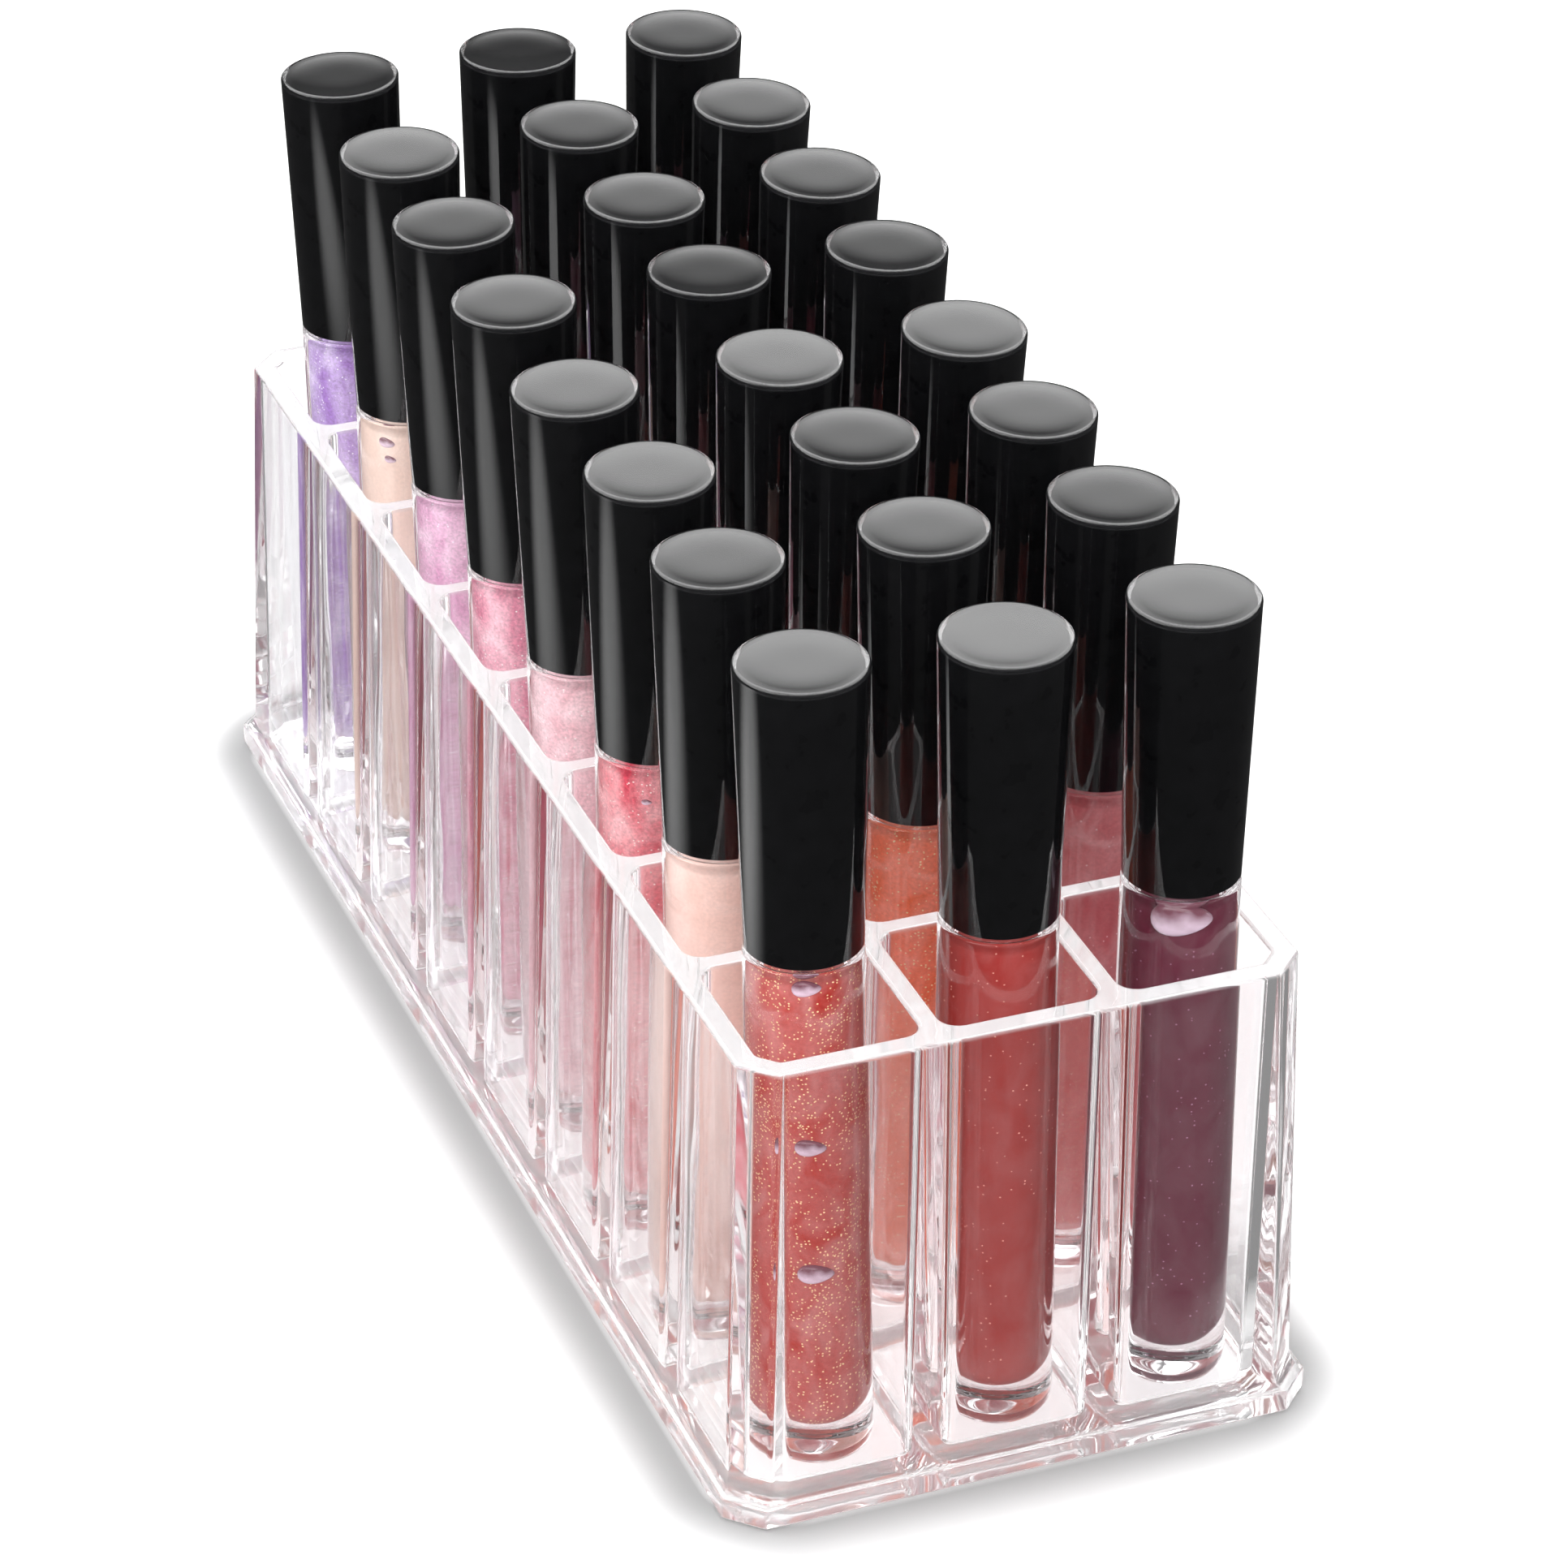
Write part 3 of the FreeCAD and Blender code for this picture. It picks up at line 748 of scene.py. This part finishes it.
# The gloss and the tip get their own material on each tube
meshes = {
    "bottle": make_mesh("bottle", *revolve(bottle_profile(), radius_at=neck_thread), GLASS, 40),
    "gloss": make_mesh("gloss", *revolve(gloss_profile()), BLACK, 50),
    "bubble": make_mesh("bubble", *bubble_points(), BUBBLE_PAINTED_LIGHT, 60),
    "wiper": make_mesh("wiper", *revolve(wiper_profile(), closed=True), WIPER, 40),
    "core": make_mesh("core", *revolve(core_profile()), BLACK, 40),
    "sleeve": make_mesh("sleeve", *revolve(sleeve_profile()), SLEEVE_CLEAR, 40),
    "wand": make_mesh("wand", *revolve(wand_profile(), segments=WAND_SEGMENTS), STEM, 40),
    "tip": make_mesh("tip", *tip_points(), BLACK, 50),
}


def put(kind, tube, body, place, material=None, label=None):
    """One of the shared meshes on a tube, riding a body."""
    item = add_object(f"{label or kind}_{tube}", meshes[kind])
    item.matrix_world = place
    if material:
        item.material_slots[0].link = "OBJECT"
        item.material_slots[0].material = material
    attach(item, body)
    return item


for number, (tube, (shade, colour, pearl, glitter, fleck)) in enumerate(SHADES.items()):
    place = tube_place(tube)
    tint = gloss_material(f"gloss_{shade}", srgb(*colour), pearl, glitter, fleck, number + 1)
    flock = plain_plastic(f"flock_{shade}", tuple(0.75 * c + 0.05 for c in srgb(*colour)), 0.9, 6.0)
    bottle = put("bottle", tube, f"bottle_{tube}", place)
    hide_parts(f"bottle_{tube}")
    put("gloss", tube, f"bottle_{tube}", place, tint)
    for count, (_, way, height, size) in enumerate(b for b in BUBBLES if b[0] == tube):
        local = (Matrix.Rotation(math.radians(way), 4, "Z")
                 @ Matrix.Translation((BORE_RADIUS * MM, 0, height * MM)) @ Matrix.Scale(size, 4))
        put("bubble", tube, f"bottle_{tube}", place @ local, None, f"bubble_{count + 1}")
    put("wiper", tube, f"bottle_{tube}", place)
    sleeve = put("sleeve", tube, f"cap_{tube}", place)
    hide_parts(f"cap_{tube}")
    put("core", tube, f"cap_{tube}", place)
    put("wand", tube, f"cap_{tube}", place)
    put("tip", tube, f"cap_{tube}", place, flock)


# The stage: a white floor and soft studio light
def seen_straight(tree, path):
    """1 for what the camera sees straight or through something clear."""
    either = node(tree, "ShaderNodeMath", [(0, path.outputs["Is Camera Ray"]),
                                           (1, path.outputs["Is Transmission Ray"])], operation="MAXIMUM")
    return either.outputs["Value"]


def floor_with_painted_shadow(tree, coords, path, past):
    """The floor as it is seen and lit: white, with a painted glow under and away from the tray, and a painted
    shadow, grey, beside its foot.
    """
    # Painted light: a glow under the tray's foot, seen straight or through clear plastic, so that the floor
    # under the tray looks lit
    under = node(tree, "ShaderNodeMapRange", [("Value", past)], From_Min=-UNDER_REACH, From_Max=0,
                 To_Min=PAINTED_GLOW_UNDER, To_Max=0)
    # Painted light: a glow that rises from nothing at the foot to full strength a little way off, so that the
    # shadow fades to white close to the tray
    clear = node(tree, "ShaderNodeMapRange", [("Value", past)], From_Min=FAR_REACH[0], From_Max=FAR_REACH[1],
                 To_Max=PAINTED_GLOW_AWAY, interpolation_type="SMOOTHERSTEP")
    glowing = node(tree, "ShaderNodeMath", [(0, under.outputs["Result"]), (1, clear.outputs["Result"])],
                   operation="ADD")
    lift = node(tree, "ShaderNodeMath", [(0, seen_straight(tree, path)), (1, glowing.outputs["Value"])],
                operation="MULTIPLY")
    # Painted shadow: the floor's colour turns grey along the tray's foot, its outline moved a little towards
    # the back, and pales to the floor's grey within a few millimetres on either side
    moved = node(tree, "ShaderNodeVectorMath", [(0, coords.outputs["Object"]), (1, SHADOW_SHIFT)],
                 operation="SUBTRACT")
    cast = node(tree, "ShaderNodeSeparateXYZ", [("Vector", moved.outputs["Vector"])])
    past_painted_shadow = past_outline(tree, cast, FOOT_REACH, SHADOW_CORNER)
    outer = node(tree, "ShaderNodeMapRange", [("Value", past_painted_shadow)], From_Max=PAINTED_SHADOW_REACH,
                 To_Min=PAINTED_SHADOW_GREY, To_Max=FLOOR_GREY, interpolation_type="SMOOTHSTEP")
    inner = node(tree, "ShaderNodeMapRange", [("Value", past)], From_Min=-UNDER_REACH, From_Max=0,
                 To_Min=FLOOR_GREY, To_Max=PAINTED_SHADOW_GREY)
    grey = node(tree, "ShaderNodeMath", [(0, outer.outputs["Result"]), (1, inner.outputs["Result"])],
                operation="MAXIMUM")
    matt = node(tree, "ShaderNodeBsdfDiffuse", [("Color", grey.outputs["Value"])])
    glow = node(tree, "ShaderNodeEmission", [("Strength", lift.outputs["Value"])], Color=(1, 1, 1, 1))
    lit = node(tree, "ShaderNodeAddShader", [(0, matt.outputs["BSDF"]), (1, glow.outputs["Emission"])])
    return lit.outputs["Shader"]


def floor_mirrored(tree, coords, path):
    """The floor as it is mirrored: dark, as by a black screen beside the camera, but for a white card to the
    left. It is paler inside clear plastic, and after many reflections."""
    drawn = node(tree, "ShaderNodeMapping", [("Vector", coords.outputs["Object"])],
                 Scale=(1 / CARD_STRETCH, 1, 1))
    away = node(tree, "ShaderNodeVectorMath", [(0, drawn.outputs["Vector"]), (1, CARD_PLACE)],
                operation="DISTANCE")
    inside = node(tree, "ShaderNodeMapRange", [("Value", path.outputs["Transmission Depth"])],
                  To_Min=SCREEN_GLOW, To_Max=WALLED_GLOW)
    card = node(tree, "ShaderNodeMapRange",
                [("Value", away.outputs["Value"]), ("To Min", inside.outputs["Result"])],
                From_Min=CARD_RADII[0], From_Max=CARD_RADII[1], To_Max=CARD_GLOW,
                interpolation_type="SMOOTHSTEP")
    many = node(tree, "ShaderNodeMath", [(0, path.outputs["Glossy Depth"]), (1, PIPED_DEPTH)],
                operation="GREATER_THAN")
    piped = node(tree, "ShaderNodeMath", [(0, many.outputs["Value"]), (1, PIPED_GLOW)], operation="MULTIPLY")
    strength = node(tree, "ShaderNodeMath", [(0, card.outputs["Result"]), (1, piped.outputs["Value"])],
                    operation="MAXIMUM")
    mirrored = node(tree, "ShaderNodeEmission", [("Strength", strength.outputs["Value"])], Color=(1, 1, 1, 1))
    return mirrored.outputs["Emission"]


def build_floor():
    """A white floor that keeps the tray's shadow, partly cast by the lamps and partly painted beside the foot,
    with a painted glow under and away from the tray. Away from the tray it is mirrored as a screen and a card.
    """
    made, tree, out = start_material("stage_floor")
    coords = node(tree, "ShaderNodeTexCoord")
    spot = node(tree, "ShaderNodeSeparateXYZ", [("Vector", coords.outputs["Object"])])
    path = node(tree, "ShaderNodeLightPath")
    past = past_outline(tree, spot, FOOT_REACH, SHADOW_CORNER)
    around = node(tree, "ShaderNodeMapRange", [("Value", past)], From_Max=SCREEN_REACH)
    bounced = node(tree, "ShaderNodeMath", [(0, path.outputs["Glossy Depth"]), (1, around.outputs["Result"])],
                   operation="MULTIPLY", use_clamp=True)
    both = node(tree, "ShaderNodeMixShader", [(0, bounced.outputs["Value"]),
                                              (1, floor_with_painted_shadow(tree, coords, path, past)),
                                              (2, floor_mirrored(tree, coords, path))])
    tree.links.new(both.outputs["Shader"], out.inputs["Surface"])
    signs = ((-1, -1), (1, -1), (1, 1), (-1, 1))
    corners = [(x * FLOOR_REACH, y * FLOOR_REACH, -FLOOR_DROP) for x, y in signs]
    floor = add_object("stage_floor", make_mesh("stage_floor", corners, [(0, 1, 2, 3)], made))


def lamp(name, azimuth, elevation, distance, size, radiance):
    """A softbox that faces the tray and isn't mirrored. The azimuth runs from +Y towards +X."""
    light = bpy.data.lights.new(name, "AREA")
    light.shape = "RECTANGLE"
    light.size, light.size_y = size
    light.energy = radiance * math.pi * size[0] * size[1]
    item = add_object(name, light)
    a, e = math.radians(azimuth), math.radians(elevation)
    item.location = Vector((math.sin(a) * math.cos(e), math.cos(a) * math.cos(e), math.sin(e))) * distance
    item.rotation_euler = (-item.location).to_track_quat("-Z", "Y").to_euler()
    item.visible_glossy = False


def build_world():
    """White where it is seen straight or through something clear, a plain fill elsewhere.
    Mirrored once or twice, it is pale behind the tray and dark in front."""
    world = bpy.data.worlds.new("studio")
    bpy.context.scene.world = world
    world.use_nodes = True
    tree = world.node_tree
    tree.nodes.clear()
    out = tree.nodes.new("ShaderNodeOutputWorld")
    path = node(tree, "ShaderNodeLightPath")
    bounced = node(tree, "ShaderNodeMath", [(0, path.outputs["Glossy Depth"]), (1, 1.5), (2, 0.6)],
                   operation="COMPARE")
    coords = node(tree, "ShaderNodeTexCoord")
    way = node(tree, "ShaderNodeSeparateXYZ", [("Vector", coords.outputs["Generated"])])
    height = node(tree, "ShaderNodeMapRange", [("Value", way.outputs["Z"])],
                  From_Min=SKY_HEIGHTS[0], From_Max=SKY_HEIGHTS[1], To_Min=SKY_GLOWS[0], To_Max=SKY_GLOWS[1],
                  interpolation_type="SMOOTHSTEP")
    depth = node(tree, "ShaderNodeMapRange",
                 [("Value", way.outputs["Y"]), ("To Max", height.outputs["Result"])],
                 From_Min=SKY_DEPTHS[0], From_Max=SKY_DEPTHS[1], To_Min=FRONT_GLOW,
                 interpolation_type="SMOOTHSTEP")
    fill = node(tree, "ShaderNodeBackground", Color=(*FILL_COLOUR, 1), Strength=1.0)
    white = node(tree, "ShaderNodeBackground", Color=(1, 1, 1, 1), Strength=1.0)
    mirror = node(tree, "ShaderNodeBackground", [("Strength", depth.outputs["Result"])], Color=(1, 1, 1, 1))
    plain = node(tree, "ShaderNodeMixShader", [(0, seen_straight(tree, path)),
                                               (1, fill.outputs["Background"]),
                                               (2, white.outputs["Background"])])
    both = node(tree, "ShaderNodeMixShader", [(0, bounced.outputs["Value"]), (1, plain.outputs["Shader"]),
                                              (2, mirror.outputs["Background"])])
    tree.links.new(both.outputs["Shader"], out.inputs["Surface"])


def build_camera():
    """The camera of the photograph's view."""
    data = bpy.data.cameras.new("camera")
    data.sensor_width = CAMERA_SENSOR
    data.lens = CAMERA_LENS
    data.clip_start = CAMERA_NEAR
    item = add_object("camera", data)
    a, fall = math.radians(CAMERA_AZIMUTH), math.radians(CAMERA_FALL)
    ahead = Vector((math.sin(a) * math.cos(fall), math.cos(a) * math.cos(fall), -math.sin(fall)))
    right = ahead.cross(Vector((0, 0, 1))).normalized()
    roll = Matrix.Rotation(math.radians(CAMERA_ROLL), 3, "Z")
    turn = Matrix((right, right.cross(ahead), -ahead)).transposed() @ roll
    item.matrix_world = Matrix.Translation(CAMERA_PLACE) @ turn.to_4x4()
    bpy.context.scene.camera = item


build_floor()
build_world()
lamp("softbox_back", 24, 43, 1.3, (1.5, 1.15), 1.8)
lamp("softbox_left", -75, 42, 1.2, (0.9, 0.8), 2.2)
lamp("softbox_front", -159, 36, 1.3, (0.9, 0.7), 3.4)
build_camera()
scene = bpy.context.scene
scene.view_settings.view_transform = "Standard"
scene.cycles.max_bounces = 96
scene.cycles.transmission_bounces = 64
scene.cycles.glossy_bounces = 64
scene.cycles.transparent_max_bounces = 96
